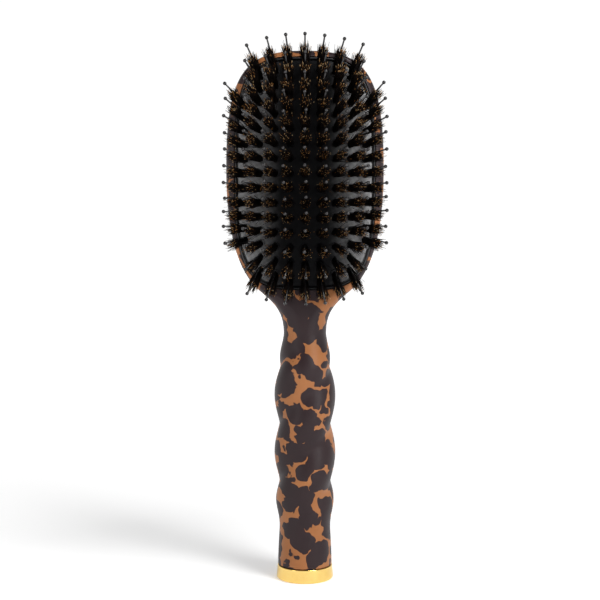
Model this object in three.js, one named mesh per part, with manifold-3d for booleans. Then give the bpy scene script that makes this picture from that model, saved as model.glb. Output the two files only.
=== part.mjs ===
// Vanity hairbrush: a paddle-shaped brush with a twisted handle, a metal end cap
// and a sprung air cushion that carries nylon pins and boar bristle tufts.
// Millimetres. +Z runs up along the brush, X is its width, the bristles face -Y.
// The origin is the middle of the end cap's flat base.

import * as THREE from 'three';
import { mergeVertices } from 'three/addons/utils/BufferGeometryUtils.js';
import Module from 'manifold-3d';

const wasm = await Module();
wasm.setup();

// ---- driving dimensions ---------------------------------------------------

const fitGap = 0.3; // clearance between pieces that touch

// paddle head, seen from the front
const headTop = 246;
const headHalfWidth = 36.5;
const headWidestZ = 191;
const shoulderZ = 134.5; // where the outline turns from the head into the neck
const shoulderHalfWidth = 20.5;
const shoulderRun = 11; // the outline's direction at the shoulder, outwards
const shoulderRise = 9; // and upwards
const shoulderReachBelow = 0.75; // how far the curve keeps that direction
const shoulderReachAbove = 0.8;
const sideReach = 34; // how far the curve runs straight below its widest place
const topRoundness = 0.79;
const neckZ = 114.5;
const neckRadius = 9.9;
const neckReach = 9; // how far the curve leaves the neck straight up

// paddle head, seen from the side
const headFront = 7;
const headBack = 8;
const headEdgeRadius = 4.5;
const headBackRoundness = 2.7; // 2 is an ellipse, higher is squarer
const slabRise = 12; // height above the shoulder where the section is fully flat

// twisted handle
const handleRadius = 11.6;
const neckTaperBottomZ = 92;
const neckTaperTopZ = 116.5;
const endFlareTopZ = 34;
const strandOffset = 2.6;
const twistLead = 53.5;
const creaseAtLeftZ = 73; // height at which one crease crosses the left side
const twistTopZ = 116;
const twistFullTopZ = 98;
const twistFullBottomZ = 42;
const twistBottomZ = 23;

// end cap and its plug
const capHeight = 6.4;
const capLipRadius = 12.9;
const capFlare = 0.5; // how much wider the cap is at its base
const capWall = 0.9;
const capBaseRound = 1.2;
const capLipBevel = 0.4;
const lipStep = 0.3; // the handle's end is this much slimmer than the cap's lip
const plugHeadRadius = 8;
const plugHeadHeight = 1.6;
const plugRadius = 4;
const plugLength = 20;
const plugTipBevel = 1;

// cushion well in the head
const rimWidth = 3.9; // between the well and the head's side
const rimTop = 3.4; // between the well and the head's top
const wellAboveShoulder = 0.8;
const wellFloor = 2.2;
const ovalSquareness = 3.5;

// cushion tray, membrane and retaining ring
const trayFloor = 1.5;
const trayWall = 1.6;
const flangeWidth = 1.6;
const membraneThickness = 1.2;
const ringWall = 0.9;
const ringHeight = 1.8;
const ringRecess = 0.3; // the ring's front face lies this far behind the rim
const domeHeight = 5.6;
const domePower = 2.2;

// bristle field
const sideColumns = 4; // columns on either side of the middle one
const sideRows = 7;
const columnMargin = 5.6; // from the well's side to the outermost column
const rowMargin = 6.05; // from the well's end to the outermost row
const edgeMargin = 1.2; // least distance of a knot's root from the dome's foot
const rowBow = 7.5; // how far the ends of an end row bend back along the rim
const sideTilt = 27;
const endTilt = 38;
const uprightRow = -3; // rows above this one lean up and rows below it lean down
const endTiltPower = 2.3; // higher keeps the rows near the upright one straighter
const pinLength = 21;
const pinRadius = 0.5;
const pinBallRadius = 0.8;
const pinOffset = 1.25;
const tuftLength = 13.5;
const tuftRadius = 0.95;
const tuftTipRadius = 1.35;
const tuftOffset = 0.55;
const footGap = 1.7; // between the membrane and the strip that ties a row's feet
const stripHeight = 0.7;
const holeClearance = 0.35;

// fineness of the solids
const sectionCorners = 6; // points on each rounded corner of a paddle section
const headSteps = 9;
const twistStep = 3.6;
const ovalPoints = 40;
const domePoints = 28;
const domeRings = [1, 0.8, 0.5]; // shares of the way from the dome's middle to its foot
const turnedSides = 28;
const cutOverrun = 5; // how far a cutting shape reaches past the face it opens
const weldDistance = 1e-4;

// ---- sizes that follow from the driving ones ------------------------------

const wellHalfWidth = headHalfWidth - rimWidth;
const wellTop = headTop - rimTop;
const wellBottom = shoulderZ + wellAboveShoulder;
const wellHalfLength = (wellTop - wellBottom) / 2;
const wellCentreZ = (wellTop + wellBottom) / 2;
const columnPitch = (wellHalfWidth - columnMargin) / sideColumns;
const rowPitch = (wellHalfLength - rowMargin) / sideRows;
const capBaseRadius = capLipRadius + capFlare;
const handleEndRadius = capLipRadius - lipStep;
const footBottom = capWall + fitGap;
const footRadius = capLipRadius - capWall - fitGap;
const handleBottom = capHeight + fitGap;
const domeFoot = -headFront + ringRecess;
const domeInset = fitGap + flangeWidth;
const flangeFront = domeFoot + ringHeight + fitGap;
const footDepth = membraneThickness + footGap;
const trayBack = wellFloor - fitGap;
const trayRim = flangeFront + membraneThickness + fitGap;

// ---- closed solids from rings of points -----------------------------------

const up = new THREE.Vector3(0, 0, 1);
const across = new THREE.Vector3(1, 0, 0);

// A ring is a closed loop of points, and all rings of one loft have as many.
// Each end is closed by a fan of triangles about its middle point.
function loft(rings, startPoint, endPoint) {
  const count = rings[0].length;
  const points = [startPoint, endPoint, ...rings.flat()];
  const index = [];
  const at = (ring, i) => 2 + ring * count + (i % count);
  for (let i = 0; i < count; i += 1) {
    index.push(0, at(0, i + 1), at(0, i));
    for (let ring = 0; ring + 1 < rings.length; ring += 1) {
      index.push(at(ring, i), at(ring, i + 1), at(ring + 1, i));
      index.push(at(ring, i + 1), at(ring + 1, i + 1), at(ring + 1, i));
    }
    index.push(1, at(rings.length - 1, i), at(rings.length - 1, i + 1));
  }
  const geometry = new THREE.BufferGeometry().setFromPoints(points);
  geometry.setIndex(index);
  return facingOut(geometry);
}

// A loft whose last ring joins its first one again, such as a frame.
function ringLoft(rings) {
  const count = rings[0].length;
  const index = [];
  const at = (ring, i) => (ring % rings.length) * count + (i % count);
  for (let ring = 0; ring < rings.length; ring += 1) {
    for (let i = 0; i < count; i += 1) {
      index.push(at(ring, i), at(ring, i + 1), at(ring + 1, i));
      index.push(at(ring, i + 1), at(ring + 1, i + 1), at(ring + 1, i));
    }
  }
  const geometry = new THREE.BufferGeometry().setFromPoints(rings.flat());
  geometry.setIndex(index);
  return facingOut(geometry);
}

function corner(geometry, i) {
  return new THREE.Vector3().fromBufferAttribute(geometry.attributes.position, i);
}

// Turns every triangle over when the solid's volume comes out negative.
function facingOut(geometry) {
  const index = Array.from(geometry.index.array);
  let volume = 0;
  for (let i = 0; i < index.length; i += 3) {
    const [a, b, c] = [0, 1, 2].map((k) => corner(geometry, index[i + k]));
    volume += a.dot(b.cross(c));
  }
  if (volume < 0) geometry.setIndex(index.reverse());
  return geometry;
}

function toManifold(geometry) {
  const bare = geometry.clone();
  bare.deleteAttribute('normal');
  bare.deleteAttribute('uv');
  const merged = mergeVertices(bare, weldDistance);
  return new wasm.Manifold(new wasm.Mesh({
    numProp: 3,
    vertProperties: new Float32Array(merged.attributes.position.array),
    triVerts: new Uint32Array(merged.index.array),
  }));
}

function fromManifold(solid) {
  const mesh = solid.getMesh();
  const geometry = new THREE.BufferGeometry();
  geometry.setAttribute('position', new THREE.BufferAttribute(mesh.vertProperties, 3));
  geometry.setIndex(new THREE.BufferAttribute(mesh.triVerts, 1));
  return geometry;
}

function cut(geometry, tools) {
  const start = toManifold(geometry);
  return fromManifold(tools.reduce((solid, tool) => solid.subtract(toManifold(tool)), start));
}

// A round solid turned about the Z axis from [radius, z] points.
function turned(profile) {
  const points = profile.map(([radius, z]) => new THREE.Vector2(radius, z));
  const geometry = new THREE.LatheGeometry(points, turnedSides);
  return geometry.rotateX(Math.PI / 2);
}

const smooth = (from, to, value) => THREE.MathUtils.smoothstep(value, from, to);
const mix = THREE.MathUtils.lerp;
const radians = THREE.MathUtils.degToRad;

// ---- paddle and handle ----------------------------------------------------

// Half of the head's outline from the neck up to the top, as x and z.
function headOutline() {
  const slope = new THREE.Vector2(shoulderRun, shoulderRise);
  const shoulder = new THREE.Vector2(shoulderHalfWidth, shoulderZ);
  const below = shoulder.clone().addScaledVector(slope, -shoulderReachBelow);
  const above = shoulder.clone().addScaledVector(slope, shoulderReachAbove);
  const outline = new THREE.Path();
  outline.moveTo(neckRadius, neckZ);
  outline.bezierCurveTo(
    neckRadius, neckZ + neckReach,
    below.x, below.y,
    shoulder.x, shoulder.y,
  );
  outline.bezierCurveTo(
    above.x, above.y,
    headHalfWidth, headWidestZ - sideReach,
    headHalfWidth, headWidestZ,
  );
  outline.bezierCurveTo(
    headHalfWidth, mix(headWidestZ, headTop, topRoundness),
    headHalfWidth * topRoundness, headTop,
    0, headTop,
  );
  return outline.getPoints(headSteps);
}

// A curve that falls from 1 at the middle to 0 at share 1, squarer at higher powers.
function roundedShare(share, power) {
  return (1 - THREE.MathUtils.clamp(share, 0, 1) ** power) ** (1 / power);
}

// One section of the head: a flat rim with rounded edges in front, a crowned back behind.
function headSection(halfWidth, z) {
  const slab = smooth(neckZ, shoulderZ + slabRise, z);
  const frontEdge = roundedShare((z - headTop + headEdgeRadius) / headEdgeRadius, 2);
  const backEdge = roundedShare((z - headWidestZ) / (headTop - headWidestZ), headBackRoundness);
  const front = mix(neckRadius, headFront, slab) * frontEdge;
  const back = mix(neckRadius, headBack, slab) * backEdge;
  const radius = Math.min(mix(neckRadius, headEdgeRadius, slab), halfWidth, front);
  const power = 2 / mix(2, headBackRoundness, slab);
  return sectionAngles().map((angle) => {
    const [cos, sin] = [Math.cos(angle), Math.sin(angle)];
    if (sin > 0) {
      const side = halfWidth * Math.sign(cos) * Math.abs(cos) ** power;
      return new THREE.Vector3(side, back * sin ** power, z);
    }
    const side = Math.sign(cos) * (halfWidth - radius) + radius * cos;
    return new THREE.Vector3(side, radius - front + radius * sin, z);
  });
}

function sectionAngles() {
  const count = 4 * sectionCorners;
  return Array.from({ length: count }, (_, i) => ((i + 0.5) * 2 * Math.PI) / count);
}

// The plain handle's radius, before the twist is laid on it.
function handleRadiusAt(z) {
  if (z > twistFullBottomZ) {
    return mix(handleRadius, neckRadius, smooth(neckTaperBottomZ, neckTaperTopZ, z));
  }
  return mix(handleEndRadius, handleRadius, smooth(capHeight, endFlareTopZ, z));
}

// One section of the handle: two strands lying side by side, which turn with height.
function handleSection(z) {
  const plain = handleRadiusAt(z);
  const strength = smooth(twistBottomZ, twistFullBottomZ, z)
    * (1 - smooth(twistFullTopZ, twistTopZ, z));
  const offset = strandOffset * strength;
  const crease = Math.PI + ((z - creaseAtLeftZ) / twistLead) * 2 * Math.PI;
  return sectionAngles().map((angle) => {
    const fromStrand = angle - crease - Math.PI / 2;
    const reach = offset * Math.abs(Math.cos(fromStrand))
      + Math.sqrt(plain ** 2 - (offset * Math.sin(fromStrand)) ** 2);
    return new THREE.Vector3(reach * Math.cos(angle), reach * Math.sin(angle), z);
  });
}

function circleSection(radius, z) {
  return sectionAngles().map((angle) => (
    new THREE.Vector3(radius * Math.cos(angle), radius * Math.sin(angle), z)
  ));
}

function paddleHandle() {
  const rings = [circleSection(footRadius, footBottom), circleSection(footRadius, handleBottom)];
  const handleLength = neckZ - handleBottom;
  const steps = Math.round(handleLength / twistStep);
  for (let i = 0; i < steps; i += 1) {
    rings.push(handleSection(handleBottom + (handleLength * i) / steps));
  }
  const outline = headOutline();
  const top = outline.pop();
  outline.forEach((point) => rings.push(headSection(point.x, point.y)));
  const body = loft(
    rings,
    new THREE.Vector3(0, 0, footBottom),
    new THREE.Vector3(0, 0, top.y),
  );
  return cut(body, [cushionWell(), plugBore()]);
}

function plugBore() {
  const headRadius = plugHeadRadius + fitGap;
  const headTopZ = footBottom + plugHeadHeight + fitGap;
  const boreRadius = plugRadius + fitGap;
  const boreTop = footBottom + plugHeadHeight + plugLength + fitGap;
  return turned([
    [0, 0],
    [headRadius, 0],
    [headRadius, headTopZ],
    [boreRadius, headTopZ],
    [boreRadius, boreTop],
    [0, boreTop],
  ]);
}

// ---- end cap --------------------------------------------------------------

function endCap() {
  const inner = capLipRadius - capWall;
  const roundMiddle = capBaseRound * (1 - Math.SQRT1_2);
  return turned([
    [0, 0],
    [capBaseRadius - capBaseRound, 0],
    [capBaseRadius - roundMiddle, roundMiddle],
    [capBaseRadius, capBaseRound],
    [capLipRadius, capHeight - capLipBevel],
    [capLipRadius - capLipBevel, capHeight],
    [inner, capHeight],
    [inner, capWall],
    [0, capWall],
  ]);
}

function capPlug() {
  const shoulder = footBottom + plugHeadHeight;
  const tip = shoulder + plugLength;
  return turned([
    [0, footBottom],
    [plugHeadRadius, footBottom],
    [plugHeadRadius, shoulder],
    [plugRadius, shoulder],
    [plugRadius, tip - plugTipBevel],
    [plugRadius - plugTipBevel, tip],
    [0, tip],
  ]);
}

// ---- cushion --------------------------------------------------------------

// The well's rounded outline, drawn in by an inset, at one depth.
function oval(inset, y, count = ovalPoints, scale = 1) {
  const power = 2 / ovalSquareness;
  const halfWidth = (wellHalfWidth - inset) * scale;
  const halfLength = (wellHalfLength - inset) * scale;
  return Array.from({ length: count }, (_, i) => {
    const angle = ((i + 0.5) / count) * 2 * Math.PI;
    const x = Math.sign(Math.cos(angle)) * Math.abs(Math.cos(angle)) ** power;
    const z = Math.sign(Math.sin(angle)) * Math.abs(Math.sin(angle)) ** power;
    return new THREE.Vector3(halfWidth * x, y, wellCentreZ + halfLength * z);
  });
}

const wellMiddle = (y) => new THREE.Vector3(0, y, wellCentreZ);

function cushionWell() {
  const front = -headFront - cutOverrun;
  return loft([oval(0, wellFloor), oval(0, front)], wellMiddle(wellFloor), wellMiddle(front));
}

function cushionTray() {
  const floorFront = trayBack - trayFloor;
  const outer = fitGap;
  const inner = fitGap + trayWall;
  return loft(
    [oval(outer, trayBack), oval(outer, trayRim), oval(inner, trayRim), oval(inner, floorFront)],
    wellMiddle(trayBack),
    wellMiddle(floorFront),
  );
}

// Depth of the membrane's outer face at a share of the way from middle to edge.
const domeY = (share) => domeFoot - domeHeight * (1 - share ** domePower);

function cushionMembrane() {
  const innerInset = domeInset + membraneThickness;
  const flangeBack = flangeFront + membraneThickness;
  const ring = (inset, y, share = 1) => oval(inset, y, domePoints, share);
  const outerDome = domeRings.map((share) => ring(domeInset, domeY(share), share));
  const innerDome = domeRings.map((share) => (
    ring(innerInset, domeY(share) + membraneThickness, share)
  ));
  const rings = [
    ...outerDome.reverse(),
    ring(domeInset, flangeFront),
    ring(fitGap, flangeFront),
    ring(fitGap, flangeBack),
    ring(innerInset, flangeBack),
    ...innerDome,
  ];
  const blank = loft(rings, wellMiddle(domeY(0)), wellMiddle(domeY(0) + membraneThickness));
  return cut(blank, knots.flat().map(knotHole));
}

function retainingRing() {
  const back = flangeFront - fitGap;
  const inner = fitGap + ringWall;
  return ringLoft([
    oval(fitGap, back), oval(fitGap, domeFoot), oval(inner, domeFoot), oval(inner, back),
  ]);
}

// ---- bristle field --------------------------------------------------------

// Where a point lies between the well's middle, 0, and its inset outline, 1.
function ovalShare(x, z, inset) {
  const reach = (value, half) => Math.abs(value / (half - inset)) ** ovalSquareness;
  return (reach(x, wellHalfWidth) + reach(z, wellHalfLength)) ** (1 / ovalSquareness);
}

// A knot is one bundle of bristles with one pin beside it.
function knotAt(column, row) {
  const rowShare = row / sideRows;
  const fromUpright = row - uprightRow;
  const leaningRows = fromUpright > 0 ? sideRows - uprightRow : sideRows + uprightRow;
  const leanShare = Math.sign(fromUpright) * Math.abs(fromUpright / leaningRows) ** endTiltPower;
  const columnShare = column / sideColumns;
  const x = column * columnPitch;
  const bow = rowBow * Math.sign(row) * rowShare ** 2 * columnShare ** 2;
  const z = row * rowPitch - bow;
  const share = ovalShare(x, z, domeInset);
  const tiltX = Math.tan(radians(sideTilt)) * columnShare;
  const tiltZ = Math.tan(radians(endTilt)) * leanShare;
  const axis = new THREE.Vector3(tiltX, -1, tiltZ).normalize();
  const side = across.clone().addScaledVector(axis, -across.dot(axis)).normalize();
  const rise = new THREE.Vector3().crossVectors(side, axis).normalize();
  if (rise.dot(up) < 0) rise.negate();
  const root = new THREE.Vector3(x, domeY(Math.min(share, 1)), wellCentreZ + z);
  const fits = ovalShare(x, z, domeInset + edgeMargin) <= 1;
  return { root, axis, side, rise, fits };
}

function knotsInRow(row) {
  const found = [];
  for (let column = -sideColumns; column <= sideColumns; column += 1) {
    const knot = knotAt(column, row);
    if (knot.fits) found.push(knot);
  }
  return found;
}

const knots = [];
for (let row = -sideRows; row <= sideRows; row += 1) knots.push(knotsInRow(row));

// A point of a knot: so far along its axis, beside it and above it.
function knotPoint(knot, along, beside, above) {
  return knot.root.clone()
    .addScaledVector(knot.axis, along)
    .addScaledVector(knot.side, beside)
    .addScaledVector(knot.rise, above);
}

// A square ring of corners about a point of a knot.
function knotRing(knot, along, above, half) {
  return [[-half, -half], [half, -half], [half, half], [-half, half]].map(
    ([beside, rise]) => knotPoint(knot, along, beside, above + rise),
  );
}

// One row as a comb: a strip under the membrane with one upright on it for each knot.
// rise(knot) gives an upright's rings from its foot up, and its end point.
function comb(row, above, footHalf, rise) {
  const points = [];
  const index = [];
  const add = (ring) => points.push(...ring) - ring.length;
  const quad = (a, b, c, d) => index.push(a, b, c, a, c, d);
  const wall = (low, high, sides) => sides.forEach((i) => {
    const next = (i + 1) % 4;
    quad(low + i, low + next, high + next, high + i);
  });
  let last = null;
  row.forEach((knot, i) => {
    const bottom = add(knotRing(knot, -footDepth - stripHeight, above, footHalf));
    const { rings, end } = rise(knot);
    const starts = rings.map(add);
    const top = starts[0];
    const tip = points.push(end) - 1;
    quad(bottom + 3, bottom + 2, bottom + 1, bottom);
    wall(bottom, top, [0, 2]);
    starts.slice(1).forEach((ring, k) => wall(starts[k], ring, [0, 1, 2, 3]));
    const highest = starts[starts.length - 1];
    for (let k = 0; k < 4; k += 1) index.push(highest + k, highest + ((k + 1) % 4), tip);
    if (i === 0) wall(bottom, top, [3]);
    if (i === row.length - 1) wall(bottom, top, [1]);
    if (last) {
      quad(last.bottom + 1, bottom, top, last.top + 1);
      quad(last.top + 2, top + 3, bottom + 3, last.bottom + 2);
      quad(last.top + 1, top, top + 3, last.top + 2);
      quad(last.bottom + 2, bottom + 3, bottom, last.bottom + 1);
    }
    last = { bottom, top };
  });
  const geometry = new THREE.BufferGeometry().setFromPoints(points);
  geometry.setIndex(index);
  return facingOut(geometry);
}

function pinRow(row) {
  const ballCentre = pinLength - pinBallRadius;
  const heights = [
    [-footDepth, pinRadius],
    [ballCentre - pinBallRadius, pinRadius],
    [ballCentre, pinBallRadius],
  ];
  return comb(row, pinOffset, pinRadius, (knot) => ({
    rings: heights.map(([along, half]) => knotRing(knot, along, pinOffset, half)),
    end: knotPoint(knot, pinLength, 0, pinOffset),
  }));
}

function tuftRow(row) {
  const lean = -tuftOffset - (tuftTipRadius - tuftRadius);
  return comb(row, -tuftOffset, tuftRadius, (knot) => ({
    rings: [
      knotRing(knot, -footDepth, -tuftOffset, tuftRadius),
      knotRing(knot, tuftLength, lean, tuftTipRadius),
    ],
    end: knotPoint(knot, tuftLength, 0, lean),
  }));
}

// The opening through the membrane that a knot's pin and tuft share.
function knotHole(knot) {
  const halfWidth = tuftRadius + holeClearance;
  const low = -tuftOffset - tuftRadius - holeClearance;
  const high = pinOffset + pinRadius + holeClearance;
  const depth = footDepth + fitGap;
  const ring = (along) => [
    knotPoint(knot, along, -halfWidth, low),
    knotPoint(knot, along, halfWidth, low),
    knotPoint(knot, along, halfWidth, high),
    knotPoint(knot, along, -halfWidth, high),
  ];
  return loft(
    [ring(-depth), ring(depth)],
    knotPoint(knot, -depth, 0, 0),
    knotPoint(knot, depth, 0, 0),
  );
}

// ---- the brush ------------------------------------------------------------

const finishes = {
  tortoiseshell: { color: 0x4a3a36, roughness: 0.5, metalness: 0 },
  gold: { color: 0xe2bd62, roughness: 0.2, metalness: 1 },
  blackPlastic: { color: 0x17171a, roughness: 0.5, metalness: 0 },
  rubber: { color: 0x242428, roughness: 0.85, metalness: 0 },
  nylon: { color: 0x101012, roughness: 0.35, metalness: 0 },
  bristle: { color: 0x2c1a10, roughness: 0.7, metalness: 0 },
};

const brush = new THREE.Group();

function addPiece(name, geometry, finish) {
  const material = new THREE.MeshStandardMaterial(finishes[finish]);
  const mesh = new THREE.Mesh(geometry, material);
  mesh.name = name;
  brush.add(mesh);
}

addPiece('paddle_handle', paddleHandle(), 'tortoiseshell');
addPiece('end_cap', endCap(), 'gold');
addPiece('cap_plug', capPlug(), 'blackPlastic');
addPiece('cushion_tray', cushionTray(), 'blackPlastic');
addPiece('cushion_membrane', cushionMembrane(), 'rubber');
addPiece('retaining_ring', retainingRing(), 'blackPlastic');

knots.forEach((row, i) => {
  const number = String(i + 1).padStart(2, '0');
  addPiece(`pin_row_${number}`, pinRow(row), 'nylon');
  addPiece(`tuft_row_${number}`, tuftRow(row), 'bristle');
});

export default brush;
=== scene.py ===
"""Vanity hairbrush: the finished look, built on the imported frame. Metres, +Z up, bristles face -Y."""

import math

import bmesh
import bpy
import numpy as np
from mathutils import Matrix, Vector


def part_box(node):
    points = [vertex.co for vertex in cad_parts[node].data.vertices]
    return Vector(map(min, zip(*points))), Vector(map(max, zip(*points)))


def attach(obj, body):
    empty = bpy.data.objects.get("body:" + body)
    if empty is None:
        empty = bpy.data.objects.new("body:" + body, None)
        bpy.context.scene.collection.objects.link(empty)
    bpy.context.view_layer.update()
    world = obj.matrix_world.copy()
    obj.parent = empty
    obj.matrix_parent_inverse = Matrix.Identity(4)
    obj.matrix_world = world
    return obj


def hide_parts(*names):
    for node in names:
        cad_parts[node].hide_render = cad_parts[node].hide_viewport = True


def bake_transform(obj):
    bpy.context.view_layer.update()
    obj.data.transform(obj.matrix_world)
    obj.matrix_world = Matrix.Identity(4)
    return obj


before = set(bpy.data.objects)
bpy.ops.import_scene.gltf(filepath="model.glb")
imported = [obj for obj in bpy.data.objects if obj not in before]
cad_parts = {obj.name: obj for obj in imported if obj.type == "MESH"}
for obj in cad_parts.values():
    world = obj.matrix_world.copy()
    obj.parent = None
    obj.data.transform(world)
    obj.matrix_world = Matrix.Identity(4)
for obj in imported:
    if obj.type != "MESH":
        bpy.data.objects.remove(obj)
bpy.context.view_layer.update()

MM = 0.001

# ---- sizes taken from the frame --------------------------------------------

PADDLE_HIGH = Vector(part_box("paddle_handle")[1])
RING_LOW, RING_HIGH = (Vector(corner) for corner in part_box("retaining_ring"))
CAP_LOW, CAP_HIGH = (Vector(corner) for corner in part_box("end_cap"))
SKIN_LOW = Vector(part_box("cushion_membrane")[0])

FIT_GAP = 0.3 * MM
FACET_SHORTFALL = 0.05 * MM  # about how far the frame's faceted ring stops short of its oval

# paddle head
HEAD_TOP = PADDLE_HIGH.z
HEAD_HALF_WIDTH = PADDLE_HIGH.x
HEAD_WIDEST_Z = 191 * MM
SHOULDER_Z = 134.5 * MM
SHOULDER_HALF_WIDTH = 20.5 * MM
NECK_Z = 114.5 * MM
NECK_RADIUS = 9.9 * MM
HEAD_FRONT = 7 * MM
HEAD_BACK = 8 * MM
HEAD_EDGE_RADIUS = 4.5 * MM
HEAD_BACK_ROUNDNESS = 2.7
NECK_STRAIGHT = 9 * MM
SIDE_STRAIGHT = 34 * MM
CROWN_ROUNDNESS = 0.79
SHOULDER_SLOPE = (11 * MM, 9 * MM)
SHOULDER_PULL_BELOW = 0.75
SHOULDER_PULL_ABOVE = 0.8
SLAB_ABOVE_SHOULDER = 12 * MM

# handle
HANDLE_RADIUS = 11.6 * MM
HANDLE_END_RADIUS = 12.6 * MM
STRAND_OFFSET = 2.6 * MM
TWIST_LEAD = 53.5 * MM
CREASE_AT_LEFT_Z = 73 * MM
TWIST_TOP_Z = 116 * MM
TWIST_FULL_TOP_Z = 98 * MM
TWIST_FULL_BOTTOM_Z = 42 * MM
TWIST_BOTTOM_Z = 23 * MM
CREASE_SOFTNESS = 0.06
NECK_TAPER_BOTTOM_Z = TWIST_FULL_TOP_Z - 6 * MM
NECK_TAPER_TOP_Z = NECK_Z + 2 * MM
HANDLE_FLARE_TOP_Z = 34 * MM
HANDLE_FOOT_Z = 1.2 * MM

# end cap
CAP_FLARE = 0.5 * MM
CAP_WALL = 0.9 * MM
CAP_BASE_ROUND = 1.2 * MM
CAP_LIP_ROUND = 0.4 * MM
CAP_INNER_ROUND = 0.2 * MM
CAP_FILLET = 0.3 * MM

# cushion well, from the ring that fills its mouth
WELL_HALF_WIDTH = RING_HIGH.x + FIT_GAP + FACET_SHORTFALL
WELL_CENTRE_Z = (RING_LOW.z + RING_HIGH.z) / 2
WELL_HALF_LENGTH = (RING_HIGH.z - RING_LOW.z) / 2 + FIT_GAP + FACET_SHORTFALL
WELL_FLOOR = 2.2 * MM
OVAL_SQUARENESS = 3.5

# cushion skin
FLANGE_WIDTH = 1.6 * MM
SKIN_THICKNESS = 1.2 * MM
RING_WALL = 0.9 * MM
DOME_INSET = FIT_GAP + FLANGE_WIDTH
DOME_FOOT_Y = RING_LOW.y
DOME_HEIGHT = DOME_FOOT_Y - SKIN_LOW.y
DOME_POWER = 2.2
FLANGE_FRONT_Y = -4.6 * MM
SKIN_LIP = 0.35 * MM

# knots
COLUMN_PITCH = 6.75 * MM
ROW_PITCH = 6.8 * MM
SIDE_COLUMNS = 4
SIDE_ROWS = 7
EDGE_MARGIN = 1.2 * MM
ROW_BOW = 7.5 * MM
SIDE_TILT = math.radians(27)
END_TILT = math.radians(38)
UPRIGHT_ROW = -3
END_TILT_POWER = 2.3
PIN_LENGTH = 21 * MM
PIN_RADIUS = 0.5 * MM
PIN_BALL_RADIUS = 0.85 * MM
PIN_OFFSET = 1.25 * MM
TUFT_LENGTH = 13.5 * MM
TUFT_RADIUS = 1.1 * MM
TUFT_OFFSET = 0.45 * MM
ROOT_DEPTH = 2.4 * MM


# ---- small helpers ---------------------------------------------------------

def smooth(low, high, value):
    share = min(1.0, max(0.0, (value - low) / (high - low)))
    return share * share * (3 - 2 * share)


def mix(a, b, share):
    return a + (b - a) * share


def rounded_share(share, power):
    """Falls from 1 at share 0 to 0 at share 1, squarer at higher powers."""
    return (1 - min(1.0, max(0.0, share)) ** power) ** (1 / power)


def signed_power(value, power):
    return math.copysign(abs(value) ** power, value)


def mesh_object(name, points, faces, smooth_faces=True):
    mesh = bpy.data.meshes.new(name)
    mesh.from_pydata([tuple(p) for p in points], [], faces)
    mesh.validate()
    if smooth_faces:
        mesh.polygons.foreach_set("use_smooth", [True] * len(mesh.polygons))
    mesh.update()
    piece = bpy.data.objects.new(name, mesh)
    bpy.context.scene.collection.objects.link(piece)
    return piece


def loft(name, rings, closed=False, start=None, end=None):
    """Skins a row of point rings; start and end are pole points, closed joins last to first."""
    count = len(rings[0])
    points = [p for ring in rings for p in ring]
    faces = []
    spans = len(rings) if closed else len(rings) - 1
    for r in range(spans):
        low, high = r * count, ((r + 1) % len(rings)) * count
        for i in range(count):
            j = (i + 1) % count
            faces.append((low + i, low + j, high + j, high + i))
    for pole, ring in ((start, 0), (end, len(rings) - 1)):
        if pole is None:
            continue
        points.append(pole)
        at = len(points) - 1
        base = ring * count
        faces += [(at, base + i, base + (i + 1) % count) for i in range(count)]
    piece = mesh_object(name, points, faces)
    face_outwards(piece)
    return piece


def face_outwards(piece):
    bm = bmesh.new()
    bm.from_mesh(piece.data)
    bmesh.ops.recalc_face_normals(bm, faces=bm.faces)
    if bm.calc_volume(signed=True) < 0:
        bmesh.ops.reverse_faces(bm, faces=bm.faces)
    bm.to_mesh(piece.data)
    bm.free()


def applied(piece):
    """Turns an object with live modifiers into a plain mesh object of the same name."""
    graph = bpy.context.evaluated_depsgraph_get()
    mesh = bpy.data.meshes.new_from_object(piece.evaluated_get(graph))
    piece.modifiers.clear()
    piece.data = mesh
    return piece


def smooth_by_angle(piece, degrees):
    piece.data.set_sharp_from_angle(angle=math.radians(degrees))


# ---- node graph writer -----------------------------------------------------

class Graph:
    """Adds nodes to a tree; inputs are given by socket name or position."""

    def __init__(self, tree):
        self.tree = tree

    def add(self, kind, inputs=None, **settings):
        node = self.tree.nodes.new(kind)
        for key, value in settings.items():
            setattr(node, key, value)
        for key, value in (inputs or {}).items():
            socket = node.inputs[key]
            if isinstance(value, bpy.types.NodeSocket):
                self.tree.links.new(value, socket)
            else:
                socket.default_value = value
        return node

    def math(self, operation, a, b=0.0, c=0.0):
        return self.add("ShaderNodeMath", {0: a, 1: b, 2: c}, operation=operation).outputs[0]

    def vector(self, operation, a, b=None, scale=None):
        inputs = {0: a}
        if b is not None:
            inputs[1] = b
        if scale is not None:
            inputs["Scale"] = scale
        return self.add("ShaderNodeVectorMath", inputs, operation=operation).outputs[0]


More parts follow.
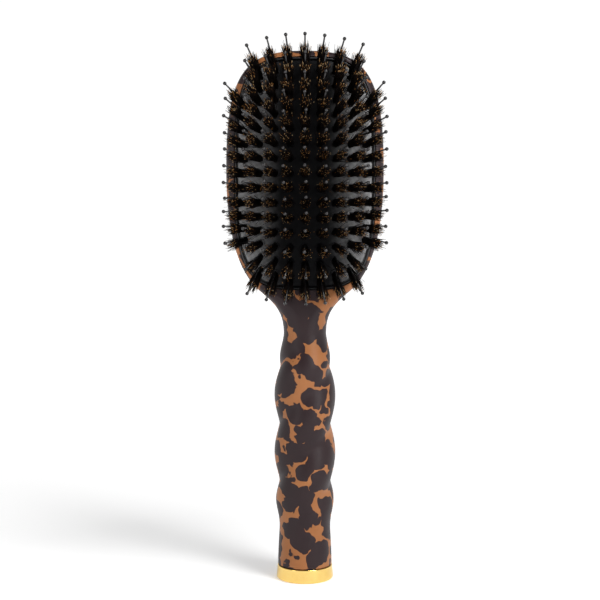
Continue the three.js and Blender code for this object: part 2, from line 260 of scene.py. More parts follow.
class GeometryTree(Graph):
    """A Geometry Nodes tree with named inputs, run once on an object and then applied."""

    SOCKETS = {float: "NodeSocketFloat", int: "NodeSocketInt", bpy.types.Material: "NodeSocketMaterial"}

    def __init__(self, name, **inputs):
        tree = bpy.data.node_groups.new(name, "GeometryNodeTree")
        super().__init__(tree)
        tree.interface.new_socket("Geometry", in_out="INPUT", socket_type="NodeSocketGeometry")
        tree.interface.new_socket("Geometry", in_out="OUTPUT", socket_type="NodeSocketGeometry")
        self.values = {}
        for label, value in inputs.items():
            socket = tree.interface.new_socket(label, in_out="INPUT", socket_type=self.SOCKETS[type(value)])
            self.values[socket.identifier] = value
        self.source = tree.nodes.new("NodeGroupInput").outputs
        self.sink = tree.nodes.new("NodeGroupOutput").inputs

    def field(self, name, data_type="FLOAT"):
        node = self.add("GeometryNodeInputNamedAttribute", {"Name": name}, data_type=data_type)
        return node.outputs["Attribute"]

    def store(self, geometry, name, value, data_type="FLOAT"):
        inputs = {"Geometry": geometry, "Name": name, "Value": value}
        node = self.add("GeometryNodeStoreNamedAttribute", inputs, data_type=data_type, domain="POINT")
        return node.outputs[0]

    def random(self, low, high, seed, data_type="FLOAT"):
        keys = {"FLOAT": (2, 3, 1), "FLOAT_VECTOR": (0, 1, 0)}[data_type]
        inputs = {keys[0]: low, keys[1]: high, "Seed": seed}
        return self.add("FunctionNodeRandomValue", inputs, data_type=data_type).outputs[keys[2]]

    def finish(self, geometry):
        self.tree.links.new(geometry, self.sink[0])

    def run_on(self, piece):
        modifier = piece.modifiers.new(self.tree.name, "NODES")
        modifier.node_group = self.tree
        for identifier, value in self.values.items():
            modifier[identifier] = value
        return applied(piece)


# ---- finishes --------------------------------------------------------------

class Finish(Graph):
    """A material whose main shader is ready and whose pattern nodes are added by name."""

    def __init__(self, name, **constants):
        self.material = bpy.data.materials.new(name)
        self.material.use_nodes = True
        super().__init__(self.material.node_tree)
        self.shader = self.tree.nodes["Principled BSDF"]
        for key, value in constants.items():
            self.shader.inputs[key.replace("_", " ")].default_value = value
        self.place = self.add("ShaderNodeTexCoord").outputs["Object"]

    def feed(self, socket, value):
        self.tree.links.new(value, self.shader.inputs[socket])

    def noise(self, scale, detail=2.0, vector=None, roughness=0.5, output="Fac"):
        inputs = {"Vector": vector or self.place, "Scale": scale, "Detail": detail, "Roughness": roughness}
        return self.add("ShaderNodeTexNoise", inputs).outputs[output]

    def ramp(self, value, stops, interpolation="LINEAR"):
        node = self.add("ShaderNodeValToRGB", {0: value})
        ramp = node.color_ramp
        ramp.interpolation = interpolation
        while len(ramp.elements) < len(stops):
            ramp.elements.new(1.0)
        for element, (position, colour) in zip(ramp.elements, stops):
            element.position = position
            element.color = (*colour, 1)
        return node.outputs[0]

    def blend(self, share, a, b):
        node = self.add("ShaderNodeMix", {0: share, 6: a, 7: b}, data_type="RGBA")
        return node.outputs[2]

    def bump(self, height, distance, strength=1.0):
        node = self.add("ShaderNodeBump", {"Height": height, "Distance": distance, "Strength": strength})
        self.feed("Normal", node.outputs[0])


DARK_SHELL = (0.022, 0.009, 0.010)
DEEP_SHELL = (0.012, 0.005, 0.007)
AMBER = (0.24, 0.080, 0.020)
PALE_AMBER = (0.34, 0.14, 0.05)
PATCHES_PER_METRE = 130.0
PATCH_WARP = 10 * MM
PATCH_EDGE_GRAIN = 0.07
AMBER_STARTS, AMBER_FULL = 0.618, 0.64
GOLD_DEEP = (0.78, 0.51, 0.14)
GOLD_PALE = (0.86, 0.62, 0.22)
GAUZE_PITCH = 0.8 * MM
GAUZE_TURN = math.radians(38)
# where the painted sheen on the cushion's sides begins and where it is full
PAINTED_SHEEN_FROM, PAINTED_SHEEN_FULLY = 12 * MM, 28 * MM
NYLON_DEEP = (0.006, 0.006, 0.007)
NYLON_PALE = (0.014, 0.012, 0.012)
MOULDED_DEEP = (0.008, 0.008, 0.009)
MOULDED_PALE = (0.02, 0.02, 0.022)
HAIR_DEEP = (0.0015, 0.0012, 0.0012)
HAIR_BROWN = (0.007, 0.004, 0.003)
TIP_TONES = [(0.76, (0.20, 0.07, 0.02)), (0.88, (0.42, 0.19, 0.05)), (1.0, (0.62, 0.46, 0.26))]


def tortoiseshell():
    """Dark round patches that leave sharp, branching amber between them."""
    finish = Finish("satin_tortoiseshell", Roughness=0.42, Specular_IOR_Level=0.27)
    warp = finish.noise(115, 2, roughness=0.5, output="Color")
    shift = finish.vector("SCALE", finish.vector("SUBTRACT", warp, (0.5, 0.5, 0.5)), scale=PATCH_WARP)
    warped = finish.vector("ADD", finish.place, shift)
    cells = {"Vector": warped, "Scale": PATCHES_PER_METRE, "Randomness": 1.0}
    patches = finish.add("ShaderNodeTexVoronoi", cells, feature="F1").outputs["Distance"]
    grain = finish.noise(340, 1)
    ragged = finish.math("MULTIPLY", finish.math("SUBTRACT", grain, 0.5), PATCH_EDGE_GRAIN)
    edge = finish.math("ADD", patches, ragged)
    amber_share = finish.ramp(edge, [(AMBER_STARTS, (0, 0, 0)), (AMBER_FULL, (1, 1, 1))])
    amber = finish.blend(finish.noise(70, 3), (*AMBER, 1), (*PALE_AMBER, 1))
    dark = finish.blend(finish.noise(90, 3), (*DEEP_SHELL, 1), (*DARK_SHELL, 1))
    finish.feed("Base Color", finish.blend(amber_share, dark, amber))
    sheen = finish.noise(900, 3)
    finish.feed("Roughness", finish.math("ADD", finish.math("MULTIPLY", sheen, 0.12), 0.38))
    finish.bump(sheen, 0.02 * MM, 0.35)
    return finish.material


def polished_gold():
    finish = Finish("polished_gold", Metallic=1.0, Roughness=0.12)
    wear = finish.noise(300, 4)
    tone = finish.blend(wear, (*GOLD_DEEP, 1), (*GOLD_PALE, 1))
    finish.feed("Base Color", tone)
    finish.feed("Roughness", finish.math("ADD", finish.math("MULTIPLY", wear, 0.06), 0.04))
    return finish.material


def mesh_rubber():
    """Black rubber moulded with a fine diagonal gauze, with a painted sheen that turns it pale towards the
    sides.
    """
    finish = Finish("gauze_textured_rubber", Roughness=0.45, Specular_IOR_Level=0.05)
    turned = finish.add("ShaderNodeMapping", {"Vector": finish.place, "Rotation": (0, GAUZE_TURN, 0)})
    parts = finish.add("ShaderNodeSeparateXYZ", {0: turned.outputs[0]}).outputs
    turns_per_metre = 2 * math.pi / GAUZE_PITCH
    across = finish.math("SINE", finish.math("MULTIPLY", parts["X"], turns_per_metre))
    along = finish.math("SINE", finish.math("MULTIPLY", parts["Z"], turns_per_metre))
    weave = finish.math("MULTIPLY", across, along)
    weave = finish.math("ADD", finish.math("MULTIPLY", weave, 0.5), 0.5)
    sideways = finish.add("ShaderNodeSeparateXYZ", {0: finish.place}).outputs["X"]
    offside = finish.math("ABSOLUTE", sideways)
    offside = finish.math("ADD", offside, finish.math("MULTIPLY", finish.noise(70, 2), 5 * MM))
    # painted sheen: the gauze is coloured pale away from the middle, standing in for light caught on the
    # dome's sides
    inputs = {"Value": offside, "From Min": PAINTED_SHEEN_FROM, "From Max": PAINTED_SHEEN_FULLY}
    painted_sheen = finish.add("ShaderNodeMapRange", inputs, interpolation_type="SMOOTHSTEP").outputs[0]
    dark = finish.ramp(weave, [(0.3, (0.002, 0.002, 0.0025)), (0.85, (0.008, 0.008, 0.009))])
    pale = finish.ramp(weave, [(0.3, (0.03, 0.03, 0.031)), (0.85, (0.46, 0.46, 0.465))])
    finish.feed("Base Color", finish.blend(painted_sheen, dark, pale))
    smear = finish.math("MULTIPLY", finish.noise(240, 3), 0.12)
    finish.feed("Roughness", finish.math("ADD", smear, 0.38))
    finish.bump(weave, 0.06 * MM, 0.7)
    return finish.material


def black_nylon():
    finish = Finish("black_nylon", Roughness=0.24)
    tone = finish.blend(finish.noise(400, 2), (*NYLON_DEEP, 1), (*NYLON_PALE, 1))
    finish.feed("Base Color", tone)
    return finish.material


def boar_bristle():
    """Near-black hair that turns amber towards its tip, each hair a little different."""
    finish = Finish("boar_bristle", Roughness=0.55, Specular_IOR_Level=0.05)
    along = finish.add("ShaderNodeAttribute", attribute_name="along").outputs["Fac"]
    shade = finish.add("ShaderNodeAttribute", attribute_name="shade").outputs["Fac"]
    tip = finish.ramp(along, [(0.92, (0, 0, 0)), (0.98, (1, 1, 1))])
    tip = finish.math("MULTIPLY", tip, finish.ramp(shade, [(0.76, (0.0,) * 3), (0.84, (1, 1, 1))]))
    tip_tone = finish.ramp(shade, TIP_TONES)
    root_tone = finish.blend(shade, (*HAIR_DEEP, 1), (*HAIR_BROWN, 1))
    finish.feed("Base Color", finish.blend(tip, root_tone, tip_tone))
    return finish.material


def moulded_black():
    finish = Finish("moulded_black_plastic", Roughness=0.4)
    grain = finish.noise(700, 3)
    finish.feed("Base Color", finish.blend(grain, (*MOULDED_DEEP, 1), (*MOULDED_PALE, 1)))
    finish.bump(grain, 0.02 * MM, 0.3)
    return finish.material


SHELL = tortoiseshell()
GOLD = polished_gold()
RUBBER = mesh_rubber()
NYLON = black_nylon()
BRISTLE = boar_bristle()
BLACK = moulded_black()


def dress(piece, material):
    piece.data.materials.clear()
    piece.data.materials.append(material)


# ---- paddle and twisted handle ---------------------------------------------

RING_POINTS = 184
HEAD_STEPS = 46
HANDLE_STEP = 0.8 * MM


def bezier(points, steps):
    """Points of a cubic curve, without its first one."""
    a, b, c, d = (Vector(p) for p in points)
    shares = [(i + 1) / steps for i in range(steps)]
    return [
        a * (1 - t) ** 3 + b * 3 * t * (1 - t) ** 2 + c * 3 * t * t * (1 - t) + d * t ** 3
        for t in shares
    ]


def head_outline():
    """Half width and height of the head from the neck to the top."""
    shoulder = Vector((SHOULDER_HALF_WIDTH, SHOULDER_Z))
    slope = Vector(SHOULDER_SLOPE)
    below = shoulder - slope * SHOULDER_PULL_BELOW
    above = shoulder + slope * SHOULDER_PULL_ABOVE
    neck = (NECK_RADIUS, NECK_Z)
    widest = (HEAD_HALF_WIDTH, HEAD_WIDEST_Z)
    line = bezier((neck, (NECK_RADIUS, NECK_Z + NECK_STRAIGHT), below, shoulder), HEAD_STEPS)
    side = (HEAD_HALF_WIDTH, HEAD_WIDEST_Z - SIDE_STRAIGHT)
    line += bezier((shoulder, above, side, widest), HEAD_STEPS)
    corner = (HEAD_HALF_WIDTH, mix(HEAD_WIDEST_Z, HEAD_TOP, CROWN_ROUNDNESS))
    crown = (HEAD_HALF_WIDTH * CROWN_ROUNDNESS, HEAD_TOP)
    line += bezier((widest, corner, crown, (0, HEAD_TOP)), HEAD_STEPS)
    return [Vector(neck)] + line


def crease_angle(z):
    """Angle of one crease about the handle, so that the mesh lines run with the twist."""
    held = min(TWIST_TOP_Z, max(TWIST_BOTTOM_Z, z))
    return math.pi + (held - CREASE_AT_LEFT_Z) / TWIST_LEAD * 2 * math.pi


def ring_angles(z):
    start = crease_angle(z)
    return [start + 2 * math.pi * i / RING_POINTS for i in range(RING_POINTS)]


def head_section(half_width, z):
    slab = smooth(NECK_Z, SHOULDER_Z + SLAB_ABOVE_SHOULDER, z)
    front_edge = rounded_share((z - HEAD_TOP + HEAD_EDGE_RADIUS) / HEAD_EDGE_RADIUS, 2)
    back_edge = rounded_share((z - HEAD_WIDEST_Z) / (HEAD_TOP - HEAD_WIDEST_Z), HEAD_BACK_ROUNDNESS)
    front = mix(NECK_RADIUS, HEAD_FRONT, slab) * front_edge
    back = mix(NECK_RADIUS, HEAD_BACK, slab) * back_edge
    radius = min(mix(NECK_RADIUS, HEAD_EDGE_RADIUS, slab), half_width, front)
    power = 2 / mix(2, HEAD_BACK_ROUNDNESS, slab)
    ring = []
    for angle in ring_angles(z):
        cos, sin = math.cos(angle), math.sin(angle)
        if sin > 0:
            ring.append((half_width * signed_power(cos, power), back * sin ** power, z))
        else:
            side = math.copysign(half_width - radius, cos) + radius * cos
            ring.append((side, radius - front + radius * sin, z))
    return ring


def handle_radius(z):
    upper = mix(HANDLE_RADIUS, NECK_RADIUS, smooth(NECK_TAPER_BOTTOM_Z, NECK_TAPER_TOP_Z, z))
    if z > TWIST_FULL_BOTTOM_Z:
        return upper
    return mix(HANDLE_END_RADIUS, HANDLE_RADIUS, smooth(CAP_HIGH.z, HANDLE_FLARE_TOP_Z, z))


def round_ring(radius, z):
    return [(radius * math.cos(a), radius * math.sin(a), z) for a in ring_angles(z)]


def oval(inset, y, scale=1.0, count=220):
    """The well's outline, drawn in by an inset and shrunk by a scale, at one depth."""
    power = 2 / OVAL_SQUARENESS
    width = (WELL_HALF_WIDTH - inset) * scale
    length = (WELL_HALF_LENGTH - inset) * scale
    ring = []
    for i in range(count):
        angle = 2 * math.pi * (i + 0.5) / count
        x, z = signed_power(math.cos(angle), power), signed_power(math.sin(angle), power)
        ring.append((width * x, y, WELL_CENTRE_Z + length * z))
    return ring


def strand_twist():
    """Pushes a plain round handle out into two strands that wind round each other."""
    tree = GeometryTree(
        "strand_twist", Offset=STRAND_OFFSET, Lead=TWIST_LEAD, Crease_Height=CREASE_AT_LEFT_Z,
        Bottom=TWIST_BOTTOM_Z, Full_Bottom=TWIST_FULL_BOTTOM_Z, Full_Top=TWIST_FULL_TOP_Z,
        Top=TWIST_TOP_Z, Softness=CREASE_SOFTNESS, Finish=SHELL,
    )
    value = tree.source
    position = tree.add("GeometryNodeInputPosition").outputs[0]
    x, y, z = tree.add("ShaderNodeSeparateXYZ", {0: position}).outputs

    def ease(low, high):
        inputs = {"Value": z, "From Min": low, "From Max": high}
        return tree.add("ShaderNodeMapRange", inputs, interpolation_type="SMOOTHSTEP").outputs[0]

    rise = ease(value["Bottom"], value["Full_Bottom"])
    fall = tree.math("SUBTRACT", 1.0, ease(value["Full_Top"], value["Top"]))
    offset = tree.math("MULTIPLY", value["Offset"], tree.math("MULTIPLY", rise, fall))
    turns = tree.math("DIVIDE", tree.math("SUBTRACT", z, value["Crease_Height"]), value["Lead"])
    strand = tree.math("MULTIPLY_ADD", turns, 2 * math.pi, 1.5 * math.pi)
    bearing = tree.math("SUBTRACT", tree.math("ARCTAN2", y, x), strand)
    cos, sin = tree.math("COSINE", bearing), tree.math("SINE", bearing)
    soft_cos = tree.math("SQRT", tree.math("MULTIPLY_ADD", cos, cos, value["Softness"]))
    level = tree.vector("MULTIPLY", position, (1, 1, 0))
    radius = tree.add("ShaderNodeVectorMath", {0: level}, operation="LENGTH").outputs["Value"]
    across = tree.math("MULTIPLY", offset, sin)
    across_squared = tree.math("POWER", across, 2.0)
    root_squared = tree.math("SUBTRACT", tree.math("POWER", radius, 2.0), across_squared)
    root = tree.math("SQRT", root_squared)
    reach = tree.math("MULTIPLY_ADD", offset, soft_cos, root)
    scale = tree.math("DIVIDE", reach, radius)
    factor = tree.add("ShaderNodeCombineXYZ", {0: scale, 1: scale, 2: 1.0}).outputs[0]
    twisted = tree.vector("MULTIPLY", position, factor)
    in_twist = tree.add("FunctionNodeCompare", {0: offset, 1: 1e-6}, operation="GREATER_THAN").outputs[0]
    moved = tree.add(
        "GeometryNodeSetPosition", {0: value["Geometry"], "Selection": in_twist, "Position": twisted},
    )
    realized = tree.add("GeometryNodeRealizeInstances", {0: moved.outputs[0]})
    dressed = tree.add("GeometryNodeSetMaterial", {0: realized.outputs[0], "Material": value["Finish"]})
    tree.finish(dressed.outputs[0])
    return tree


def paddle_handle():
    foot_bottom = CAP_LOW.z + HANDLE_FOOT_Z
    foot_radius = cap_inner_radius() - FIT_GAP
    handle_bottom = CAP_HIGH.z + FIT_GAP
    rings = [round_ring(foot_radius, foot_bottom), round_ring(foot_radius, handle_bottom)]
    rings.append(round_ring(HANDLE_END_RADIUS - 0.25 * MM, handle_bottom))
    steps = round((NECK_Z - handle_bottom) / HANDLE_STEP)
    for i in range(steps):
        z = mix(handle_bottom + 0.2 * MM, NECK_Z, i / steps)
        rings.append(round_ring(handle_radius(z), z))
    outline = head_outline()
    rings += [head_section(point.x, point.y) for point in outline[:-1]]
    body = loft("paddle_and_handle", rings, start=(0, 0, foot_bottom), end=(0, 0, HEAD_TOP))
    body = strand_twist().run_on(body)
    well = loft(
        "well_cutter",
        [oval(0, WELL_FLOOR), oval(0, -2 * HEAD_FRONT)],
        start=(0, WELL_FLOOR, WELL_CENTRE_Z),
        end=(0, -2 * HEAD_FRONT, WELL_CENTRE_Z),
    )
    cutter = body.modifiers.new("well", "BOOLEAN")
    cutter.operation = "DIFFERENCE"
    cutter.solver = "EXACT"
    cutter.object = well
    body = applied(body)
    bpy.data.objects.remove(well)
    smooth_by_angle(body, 38)
    dress(body, SHELL)
    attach(body, "brush_frame")
    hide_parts("paddle_handle")


def cap_inner_radius():
    return CAP_HIGH.x - CAP_FLARE - CAP_WALL


# ---- end cap ---------------------------------------------------------------

def turned(name, profile, sides):
    """A closed turned ring or cup from radius and height points, first and last on the axis."""
    rings = []
    for radius, z in profile[1:-1]:
        rings.append([
            (radius * math.cos(2 * math.pi * i / sides), radius * math.sin(2 * math.pi * i / sides), z)
            for i in range(sides)
        ])
    return loft(name, rings, start=(0, 0, profile[0][1]), end=(0, 0, profile[-1][1]))


def arc(centre, radius, start, end, steps):
    """Points of an arc from one angle in degrees to another."""
    angles = [math.radians(mix(start, end, i / steps)) for i in range(steps + 1)]
    return [(centre[0] + radius * math.cos(a), centre[1] + radius * math.sin(a)) for a in angles]


def end_cap():
    base = CAP_HIGH.x
    lip = base - CAP_FLARE
    wall = CAP_WALL
    height = CAP_HIGH.z
    edge = CAP_BASE_ROUND
    bead = CAP_LIP_ROUND
    inner = CAP_INNER_ROUND
    profile = [(0, 0)]
    profile += arc((base - edge, edge), edge, -90, 4, 10)
    profile += arc((lip - bead, height - bead), bead, 0, 90, 6)
    profile += arc((lip - wall + inner, height - inner), inner, 90, 180, 4)
    profile += [(lip - wall, wall + CAP_FILLET), (lip - wall - CAP_FILLET, wall), (0, wall)]
    cap = turned("gold_end_cap", profile, 160)
    smooth_by_angle(cap, 50)
    dress(cap, GOLD)
    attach(cap, "brush_frame")
    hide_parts("end_cap")


# ---- cushion ---------------------------------------------------------------

def oval_share(x, z, inset):
    width = abs(x / (WELL_HALF_WIDTH - inset)) ** OVAL_SQUARENESS
    length = abs(z / (WELL_HALF_LENGTH - inset)) ** OVAL_SQUARENESS
    return (width + length) ** (1 / OVAL_SQUARENESS)


def dome_y(share):
    return DOME_FOOT_Y - DOME_HEIGHT * (1 - min(1.0, share) ** DOME_POWER)


def knots():
    """Root, lean, side and rise of every knot, row by row."""
    found = []
    for row in range(-SIDE_ROWS, SIDE_ROWS + 1):
        for column in range(-SIDE_COLUMNS, SIDE_COLUMNS + 1):
            row_share, column_share = row / SIDE_ROWS, column / SIDE_COLUMNS
            x = column * COLUMN_PITCH
            z = row * ROW_PITCH - ROW_BOW * math.copysign(row_share ** 2, row) * column_share ** 2
            if oval_share(x, z, DOME_INSET + EDGE_MARGIN) > 1:
                continue
            lean_x = math.tan(SIDE_TILT) * column_share
            from_upright = row - UPRIGHT_ROW
            leaning_rows = SIDE_ROWS - UPRIGHT_ROW if from_upright > 0 else SIDE_ROWS + UPRIGHT_ROW
            lean_z = math.tan(END_TILT) * signed_power(from_upright / leaning_rows, END_TILT_POWER)
            lean = Vector((lean_x, -1, lean_z)).normalized()
            side = (Vector((1, 0, 0)) - lean * lean.x).normalized()
            rise = lean.cross(side)
            if rise.z < 0:
                rise.negate()
            root = Vector((x, dome_y(oval_share(x, z, DOME_INSET)), WELL_CENTRE_Z + z))
            found.append((root, lean, side, rise))
    return found


KNOTS = knots()


def knot_points(name):
    """A mesh of one point for each knot, with the knot's directions as attributes."""
    piece = mesh_object(name, [knot[0] for knot in KNOTS], [])
    for k, label in enumerate(("lean", "side", "rise"), start=1):
        attribute = piece.data.attributes.new(label, "FLOAT_VECTOR", "POINT")
        attribute.data.foreach_set("vector", [c for knot in KNOTS for c in knot[k]])
    return piece


def cushion_skin():
    shares = [1 - (i / 40) ** 1.15 for i in range(40)]
    outer = [oval(DOME_INSET, dome_y(s), s) for s in shares]
    outer[0] = oval(DOME_INSET, DOME_FOOT_Y + SKIN_LIP)
    inner_inset = DOME_INSET + SKIN_THICKNESS
    inner = [oval(inner_inset, dome_y(s) + SKIN_THICKNESS, s) for s in shares[::4]]
    flange_back = FLANGE_FRONT_Y + SKIN_THICKNESS
    flange = [
        oval(DOME_INSET, FLANGE_FRONT_Y), oval(FIT_GAP, FLANGE_FRONT_Y),
        oval(FIT_GAP, flange_back), oval(inner_inset, flange_back),
    ]
    rings = outer[::-1] + flange + inner
    crown = Vector((0, dome_y(0), WELL_CENTRE_Z))
    skin = loft("cushion_skin", rings, start=crown, end=crown + Vector((0, SKIN_THICKNESS, 0)))
    smooth_by_angle(skin, 50)
    dress(skin, RUBBER)
    collars = knot_collars()
    dress(collars, RUBBER)
    skin = joined(skin, collars)
    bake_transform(skin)
    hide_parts("cushion_membrane")


def joined(first, *others):
    bm = bmesh.new()
    for piece in (first, *others):
        bm.from_mesh(piece.data)
    bm.to_mesh(first.data)
    bm.free()
    for piece in others:
        bpy.data.objects.remove(piece)
    return first


def knot_collars():
    """A low rubber collar round each knot."""
    tree = GeometryTree("knot_collars", Width=1.55 * MM, Thickness=0.42 * MM, Seed=3, Finish=RUBBER)
    value = tree.source
    outline = tree.add("GeometryNodeCurvePrimitiveCircle", {"Resolution": 14, "Radius": value["Width"]})
    section = tree.add("GeometryNodeCurvePrimitiveCircle", {"Resolution": 6, "Radius": value["Thickness"]})
    ring = tree.add("GeometryNodeCurveToMesh", {0: outline.outputs[0], 1: section.outputs[0]})
    placed = tree.add("GeometryNodeInstanceOnPoints", {
        "Points": value["Geometry"],
        "Instance": ring.outputs[0],
        "Rotation": tree.add(
            "FunctionNodeAlignRotationToVector", {"Vector": tree.field("lean", "FLOAT_VECTOR")}, axis="Z",
        ).outputs[0],
    })
    plain = tree.add("GeometryNodeRealizeInstances", {0: placed.outputs[0]})
    shaded = tree.add("GeometryNodeSetShadeSmooth", {0: plain.outputs[0]})
    dressed = tree.add("GeometryNodeSetMaterial", {0: shaded.outputs[0], "Material": value["Finish"]})
    tree.finish(dressed.outputs[0])
    return tree.run_on(knot_points("knot_collars"))


def retaining_ring():
    half = RING_WALL / 2
    middle = FIT_GAP + half
    front, back = RING_LOW.y, RING_HIGH.y
    profile = [(middle - half, back)]
    profile += [(middle - r, front + half + d) for r, d in arc((0, 0), half, 0, -180, 8)]
    profile += [(middle + half, back)]
    rings = [oval(inset, y) for inset, y in profile]
    ring = loft("cushion_edge_ring", rings, closed=True)
    smooth_by_angle(ring, 50)
    dress(ring, BLACK)
    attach(ring, "brush_frame")
    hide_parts("retaining_ring")


# ---- bristle field ---------------------------------------------------------

def row_nodes(kind):
    return [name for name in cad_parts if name.startswith(kind)]


def nylon_pins():
    """One tapered, ball-tipped pin at every knot."""
    tree = GeometryTree(
        "nylon_pins", Length=PIN_LENGTH, Root_Depth=ROOT_DEPTH, Radius=PIN_RADIUS,
        Ball_Radius=PIN_BALL_RADIUS, Offset=PIN_OFFSET, Stray=0.022, Seed=11, Finish=NYLON,
    )
    value = tree.source
    whole = tree.math("ADD", value["Length"], value["Root_Depth"])
    shaft_length = tree.math("SUBTRACT", whole, value["Ball_Radius"])
    shaft = tree.add("GeometryNodeMeshCone", {
        "Vertices": 8, "Side Segments": 2, "Fill Segments": 1,
        "Radius Top": tree.math("MULTIPLY", value["Radius"], 0.72),
        "Radius Bottom": value["Radius"], "Depth": shaft_length,
    })
    ball = tree.add("GeometryNodeMeshUVSphere", {
        "Segments": 10, "Rings": 6, "Radius": value["Ball_Radius"],
    })
    ball_height = tree.math("SUBTRACT", whole, value["Ball_Radius"])
    ball_place = tree.add("ShaderNodeCombineXYZ", {2: ball_height}).outputs[0]
    raised = tree.add("GeometryNodeTransform", {0: ball.outputs[0], "Translation": ball_place})
    pin = tree.add("GeometryNodeJoinGeometry")
    tree.tree.links.new(shaft.outputs[0], pin.inputs[0])
    tree.tree.links.new(raised.outputs[0], pin.inputs[0])
    lean = tree.field("lean", "FLOAT_VECTOR")
    rise = tree.field("rise", "FLOAT_VECTOR")
    stray = tree.random((-1, -1, -1), (1, 1, 1), value["Seed"], "FLOAT_VECTOR")
    heading = tree.vector("ADD", lean, tree.vector("SCALE", stray, scale=value["Stray"]))
    sink = tree.vector("SCALE", lean, scale=tree.math("MULTIPLY", value["Root_Depth"], -1.0))
    shift = tree.vector("ADD", sink, tree.vector("SCALE", rise, scale=value["Offset"]))
    rooted = tree.add("GeometryNodeSetPosition", {0: value["Geometry"], "Offset": shift})
    placed = tree.add("GeometryNodeInstanceOnPoints", {
        "Points": rooted.outputs[0],
        "Instance": pin.outputs[0],
        "Rotation": tree.add("FunctionNodeAlignRotationToVector", {"Vector": heading}, axis="Z").outputs[0],
    })
    plain = tree.add("GeometryNodeRealizeInstances", {0: placed.outputs[0]})
    shaded = tree.add("GeometryNodeSetShadeSmooth", {0: plain.outputs[0]})
    dressed = tree.add("GeometryNodeSetMaterial", {0: shaded.outputs[0], "Material": value["Finish"]})
    tree.finish(dressed.outputs[0])
    pins = tree.run_on(knot_points("nylon_pins"))
    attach(pins, "bristle_field")
    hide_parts(*row_nodes("pin_row"))


def bristle_tufts(name, seed_start, reach_low, reach_high):
    """A flared bundle of fine hairs at every knot, a few of them straying."""
    tree = GeometryTree(
        "bristle_tufts", Hairs=90, Length=TUFT_LENGTH, Root_Depth=ROOT_DEPTH, Bundle_Radius=TUFT_RADIUS,
        Hair_Radius=0.17 * MM, Offset=TUFT_OFFSET, Flare=0.7, Stray=0.028, Bend=0.7 * MM, Seed=seed_start,
        Inner=reach_low, Outer=reach_high, Finish=BRISTLE,
    )
    value = tree.source
    amounts = {0: value["Geometry"], "Amount": value["Hairs"]}
    copies = tree.add("GeometryNodeDuplicateElements", amounts, domain="POINT")
    points = copies.outputs[0]

    def seed(step):
        return tree.math("ADD", value["Seed"], float(step))

    turn = tree.random(0.0, 2 * math.pi, seed(1))
    reach = tree.math("SQRT", tree.random(value["Inner"], value["Outer"], seed(2)))
    points = tree.store(points, "turn", turn)
    points = tree.store(points, "reach", reach)
    points = tree.store(points, "shade", tree.random(0.0, 1.0, seed(3)))
    points = tree.store(points, "height", tree.random(0.88, 1.14, seed(4)))
    drift = tree.random((-1, -1, -1), (1, 1, 1), seed(5), "FLOAT_VECTOR")
    points = tree.store(points, "drift", drift, "FLOAT_VECTOR")
    lean, side, rise = (tree.field(label, "FLOAT_VECTOR") for label in ("lean", "side", "rise"))
    turn, reach, drift = tree.field("turn"), tree.field("reach"), tree.field("drift", "FLOAT_VECTOR")
    radius = tree.math("MULTIPLY", reach, value["Bundle_Radius"])
    outward = tree.vector(
        "ADD",
        tree.vector("SCALE", side, scale=tree.math("COSINE", turn)),
        tree.vector("SCALE", rise, scale=tree.math("SINE", turn)),
    )
    spread = tree.vector("SCALE", outward, scale=radius)
    sink = tree.vector("SCALE", lean, scale=tree.math("MULTIPLY", value["Root_Depth"], -1.0))
    lower = tree.vector("SCALE", rise, scale=tree.math("MULTIPLY", value["Offset"], -1.0))
    shift = tree.vector("ADD", tree.vector("ADD", spread, sink), lower)
    rooted = tree.add("GeometryNodeSetPosition", {0: points, "Offset": shift})
    wild = tree.math("POWER", tree.random(0.0, 1.0, seed(6)), 6.0)
    stray = tree.math("MULTIPLY", value["Stray"], tree.math("MULTIPLY_ADD", wild, 3.5, 1.0))
    flare = tree.math("DIVIDE", tree.math("MULTIPLY", radius, value["Flare"]), value["Length"])
    heading = tree.vector("ADD", lean, tree.vector("SCALE", outward, scale=flare))
    heading = tree.vector("ADD", heading, tree.vector("SCALE", drift, scale=stray))
    whole = tree.math("ADD", value["Length"], value["Root_Depth"])
    hair = tree.add("GeometryNodeMeshCone", {
        "Vertices": 3, "Side Segments": 2, "Fill Segments": 1,
        "Radius Top": tree.math("MULTIPLY", value["Hair_Radius"], 0.45),
        "Radius Bottom": value["Hair_Radius"], "Depth": whole,
    })
    position = tree.add("GeometryNodeInputPosition").outputs[0]
    hair_z = tree.add("ShaderNodeSeparateXYZ", {0: position}).outputs[2]
    marked = tree.store(hair.outputs[0], "along", tree.math("DIVIDE", hair_z, whole))
    lengths = tree.add("ShaderNodeCombineXYZ", {0: 1.0, 1: 1.0, 2: tree.field("height")}).outputs[0]
    placed = tree.add("GeometryNodeInstanceOnPoints", {
        "Points": rooted.outputs[0],
        "Instance": marked,
        "Rotation": tree.add("FunctionNodeAlignRotationToVector", {"Vector": heading}, axis="Z").outputs[0],
        "Scale": lengths,
    })
    plain = tree.add("GeometryNodeRealizeInstances", {0: placed.outputs[0]})
    bend = tree.math("MULTIPLY", tree.math("POWER", tree.field("along"), 2.0), value["Bend"])
    curved = tree.add("GeometryNodeSetPosition", {
        0: plain.outputs[0], "Offset": tree.vector("SCALE", tree.field("drift", "FLOAT_VECTOR"), scale=bend),
    })
    shaded = tree.add("GeometryNodeSetShadeSmooth", {0: curved.outputs[0]})
    dressed = tree.add("GeometryNodeSetMaterial", {0: shaded.outputs[0], "Material": value["Finish"]})
    tree.finish(dressed.outputs[0])
    tufts = tree.run_on(knot_points(name))
    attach(tufts, "bristle_field")
    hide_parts(*row_nodes("tuft_row"))


# ---- stage -----------------------------------------------------------------

FLOOR_HALF_SIZE = 60.0
LIGHT_TARGET = (0, 0, 0.14)
CAMERA_PLACE = (-2.3 * MM, -560 * MM, 154 * MM)
CAMERA_TIP = math.radians(2.39)


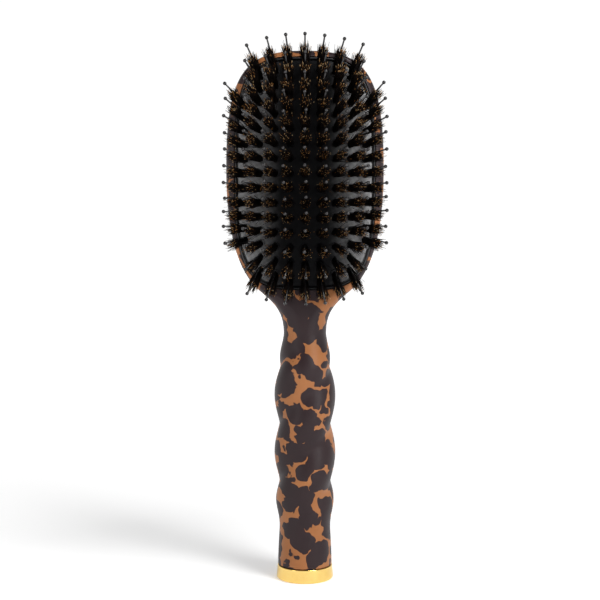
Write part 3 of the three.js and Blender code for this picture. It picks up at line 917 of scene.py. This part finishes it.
def floor_and_light():
    half = FLOOR_HALF_SIZE
    corners = [(-half, -half, 0), (half, -half, 0), (half, half, 0), (-half, half, 0)]
    floor = mesh_object("pale_floor", corners, [(0, 1, 2, 3)])
    white = Finish("pale_floor", Roughness=0.7)
    white.feed("Base Color", white.blend(white.noise(3), (0.93, 0.93, 0.93, 1), (0.95, 0.95, 0.95, 1)))
    # painted light: the floor glows, more weakly near the brush, so the floor round the brush's foot is
    # darker
    white.shader.inputs["Emission Color"].default_value = (1, 1, 1, 1)
    away = white.add("ShaderNodeVectorMath", {0: white.place}, operation="LENGTH").outputs["Value"]
    painted_glow = {"Value": away, "From Min": 0.12, "From Max": 1.2, "To Min": 0.33, "To Max": 0.85}
    white.feed("Emission Strength", white.add("ShaderNodeMapRange", painted_glow).outputs[0])
    dress(floor, white.material)

    world = bpy.data.worlds.new("white_room")
    bpy.context.scene.world = world
    world.use_nodes = True
    room = Graph(world.node_tree)
    heading = room.add("ShaderNodeTexCoord").outputs["Generated"]
    height = room.add("ShaderNodeSeparateXYZ", {0: heading}).outputs["Z"]
    inputs = {"Value": height, "From Min": 0.24, "From Max": 0.5, "To Min": 1.03, "To Max": 0.22}
    strength = room.add("ShaderNodeMapRange", inputs, interpolation_type="SMOOTHSTEP").outputs[0]
    background = world.node_tree.nodes["Background"]
    background.inputs["Color"].default_value = (1, 1, 1, 1)
    room.tree.links.new(strength, background.inputs["Strength"])

    def softbox(name, place, size, power):
        light = bpy.data.lights.new(name, "AREA")
        light.shape = "RECTANGLE"
        light.size, light.size_y = size
        light.energy = power
        lamp = bpy.data.objects.new(name, light)
        lamp.location = place
        aim = Vector(LIGHT_TARGET) - Vector(place)
        lamp.rotation_euler = aim.to_track_quat("-Z", "Y").to_euler()
        bpy.context.scene.collection.objects.link(lamp)

    softbox("right_softbox", (0.52, -0.6, 0.42), (0.2, 0.5), 2.0)
    softbox("left_softbox", (-0.56, -0.5, 0.34), (0.16, 0.5), 0.7)
    softbox("top_softbox", (0.38, -0.4, 0.85), (0.36, 0.36), 5.5)


def camera():
    lens = bpy.data.cameras.new("front_camera")
    lens.sensor_width = 36
    lens.lens = 72
    eye = bpy.data.objects.new("front_camera", lens)
    eye.location = CAMERA_PLACE
    eye.rotation_euler = (math.pi / 2 - CAMERA_TIP, 0, 0)
    bpy.context.scene.collection.objects.link(eye)
    bpy.context.scene.camera = eye


bpy.context.scene.view_settings.view_transform = "Standard"
camera()
floor_and_light()
paddle_handle()
end_cap()
cushion_skin()
retaining_ring()
nylon_pins()
bristle_tufts("boar_bristle_core", 29, 0.0, 0.5)
bristle_tufts("boar_bristle_outside", 71, 0.4, 1.0)
for hidden_node in ("cushion_tray", "cap_plug"):
    dress(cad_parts[hidden_node], BLACK)
